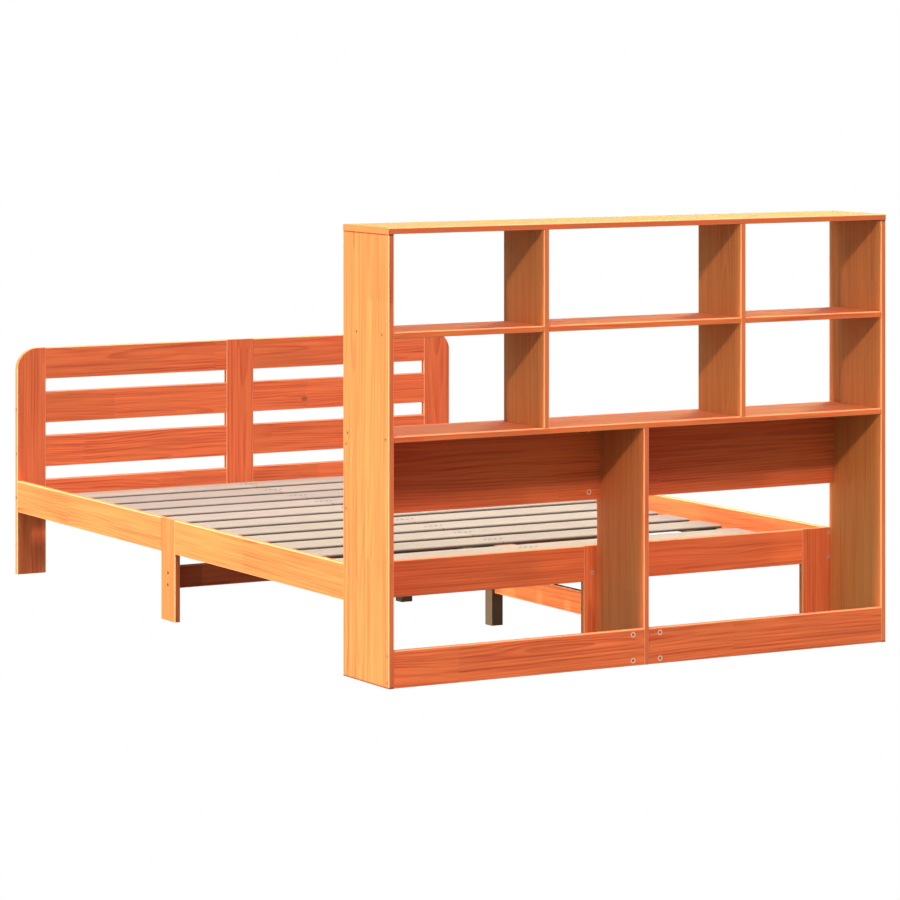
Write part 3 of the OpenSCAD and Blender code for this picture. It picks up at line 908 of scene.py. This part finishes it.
class BED_OT_small_screws(Maker, bpy.types.Operator):
    """Small screws that hold the slats to the beam and the ledges to the rails"""

    bl_idname = "bed.small_screws"
    bl_label = "Small screws"

    def execute(self, context):
        looks = context.scene.bed_looks
        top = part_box("slats_left")[1].z
        spots = []
        for y in slat_rows():
            for x in (looks.slat_screw_x, looks.slat_screw_x + looks.slat_screw_step):
                for side in (-1, 1):
                    spots.append((Vector((side * x, y, top)), (0, 0, 1)))
        dark = steel("Dark screws", SMALL_SCREW_STEEL, 0.5)
        self.add("slat_screws", spots, dark, looks)
        spots = []
        for name in named(("ledge",)):
            low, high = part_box(name)
            face, outward = (high.x, 1) if low.x < 0 else (low.x, -1)
            for k in range(looks.ledge_screws):
                y = low.y + (high.y - low.y) * (k + 0.5) / looks.ledge_screws
                spots.append((Vector((face, y, (low.z + high.z) / 2)), (outward, 0, 0)))
        self.add("ledge_screws", spots, dark, looks)
        return {"FINISHED"}

    def add(self, name, spots, material, looks):
        """Makes one set of screws and lets it ride with the bed."""
        piece = screw_heads(name, spots, looks)
        piece.data.materials.append(material)
        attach(piece, "root")


class BED_OT_stage(Maker, bpy.types.Operator):
    """Pale floor, even studio light and the camera"""

    bl_idname = "bed.stage"
    bl_label = "Studio"

    def execute(self, context):
        stage = context.scene.bed_stage
        self.room(context, stage)
        self.floor(context)
        key = (math.cos(stage.key_height), 0.0, -math.sin(stage.key_height))
        suns = (
            ("Key light", key, stage.key_light, 8, (1.0, 0.83, 0.83)),
            ("Side light", (1.0, 0.418, -0.322), stage.side_light, 2, (0.93, 0.97, 1.0)),
            ("Front light", (0.0, 1.0, -0.8), stage.front_light, 10, (0.92, 0.73, 1.0)),
            ("Floor light", (1.0, 0.0, 0.0), stage.floor_light, 0.6, FLOOR_GLOW),
            ("Low light", (1.0, 0.008, 0.0), stage.low_light, 7, FLOOR_GLOW),
            ("Back light", (-1.0, -0.8, -0.5), stage.back_light, 20, (1.0, 0.9, 0.35)),
        )
        for name, toward, strength, softness, colour in suns:
            self.sun(context, name, Vector(toward), strength, softness, colour)
        self.camera(context, stage)
        context.scene.view_settings.view_transform = "Standard"
        return {"FINISHED"}

    def room(self, context, stage):
        """Soft light all round, with its own colour from above, from below and from each side."""
        world = bpy.data.worlds.new("Studio")
        graph = Graph(world, "Background")
        x, y, z = graph.split(graph.node("ShaderNodeTexCoord").outputs["Generated"])
        total = (0.0, 0.0, 0.0)
        for along, colour in (
            (z, stage.room_above),
            (-z, stage.room_below),
            (-y, stage.room_front),
            (y, stage.room_behind),
            (-x, stage.room_left),
            (x, stage.room_right),
        ):
            lobe = along.math("MAXIMUM", 0.0)
            total = graph.added(total, graph.scaled(tuple(colour), lobe * lobe))
        graph.put(graph.shader.inputs["Color"], total)
        context.scene.world = world

    def floor(self, context):
        """A wide white floor and a white dome, which only the camera sees."""
        graph = new_graph("Pale floor")
        graph.put(graph.shader.inputs["Base Color"], (0.0, 0.0, 0.0, 1))
        graph.put(graph.shader.inputs["Specular IOR Level"], 0.0)
        graph.put(graph.shader.inputs["Emission Color"], (1, 1, 1, 1))
        graph.put(graph.shader.inputs["Emission Strength"], 1.0)
        mesh = bmesh.new()
        bmesh.ops.create_circle(mesh, cap_ends=True, segments=64, radius=FLOOR_RADIUS)
        self.white(context, "floor", mesh, graph.owner)
        mesh = bmesh.new()
        bmesh.ops.create_uvsphere(mesh, u_segments=32, v_segments=16, radius=BACKDROP_RADIUS)
        self.white(context, "backdrop", mesh, graph.owner)

    def white(self, context, name, mesh, material):
        """A white surface that gives the bed no light and neither casts nor shows a shadow."""
        data = bpy.data.meshes.new(name)
        mesh.to_mesh(data)
        mesh.free()
        data.materials.append(material)
        surface = bpy.data.objects.new(name, data)
        surface.location.z = -FLOOR_DROP
        surface.visible_diffuse = False
        surface.visible_glossy = False
        surface.visible_shadow = False
        context.scene.collection.objects.link(surface)

    def sun(self, context, name, toward, strength, softness, colour):
        """A far light that shines toward a direction, with its softness in degrees."""
        data = bpy.data.lights.new(name, "SUN")
        data.energy = strength
        data.color = colour
        data.angle = math.radians(softness)
        light = bpy.data.objects.new(name, data)
        light.rotation_euler = toward.to_track_quat("-Z", "Y").to_euler()
        context.scene.collection.objects.link(light)

    def camera(self, context, stage):
        """The camera at the photograph's angle."""
        data = bpy.data.cameras.new("Camera")
        data.sensor_width = 36.0
        data.lens = stage.camera_lens
        data.shift_y = -stage.camera_drop
        data.clip_end = 100.0
        camera = bpy.data.objects.new("Camera", data)
        camera.location = stage.camera_place
        camera.rotation_euler = (math.pi / 2, 0.0, -stage.camera_turn)
        context.scene.collection.objects.link(camera)
        context.scene.camera = camera


class BED_PT_panel(bpy.types.Panel):
    """The bed frame's makers and settings, in the sidebar"""

    bl_idname = "BED_PT_panel"
    bl_label = "Bed frame"
    bl_space_type = "VIEW_3D"
    bl_region_type = "UI"
    bl_category = "Bed frame"

    def draw(self, context):
        for maker in MAKERS:
            self.layout.operator(maker.bl_idname)
        for group in (context.scene.bed_looks, context.scene.bed_stage):
            box = self.layout.box()
            for name in type(group).__annotations__:
                box.prop(group, name)


MAKERS = (
    BED_OT_bookcase,
    BED_OT_bed_boards,
    BED_OT_slats,
    BED_OT_supports,
    BED_OT_fasteners,
    BED_OT_small_screws,
    BED_OT_stage,
)
CLASSES = (BedLooks, BedStage, *MAKERS, BED_PT_panel)


def register():
    """Adds the classes and their settings."""
    for cls in CLASSES:
        bpy.utils.register_class(cls)
    bpy.types.Scene.bed_looks = PointerProperty(type=BedLooks)
    bpy.types.Scene.bed_stage = PointerProperty(type=BedStage)


def unregister():
    """Takes the settings and the classes away again."""
    del bpy.types.Scene.bed_stage
    del bpy.types.Scene.bed_looks
    for cls in reversed(CLASSES):
        bpy.utils.unregister_class(cls)


def main():
    """Makes everything in order."""
    register()
    bpy.ops.bed.bookcase()
    bpy.ops.bed.bed_boards()
    bpy.ops.bed.slats()
    bpy.ops.bed.supports()
    bpy.ops.bed.fasteners()
    bpy.ops.bed.small_screws()
    bpy.ops.bed.stage()


if __name__ == "__main__":
    main()
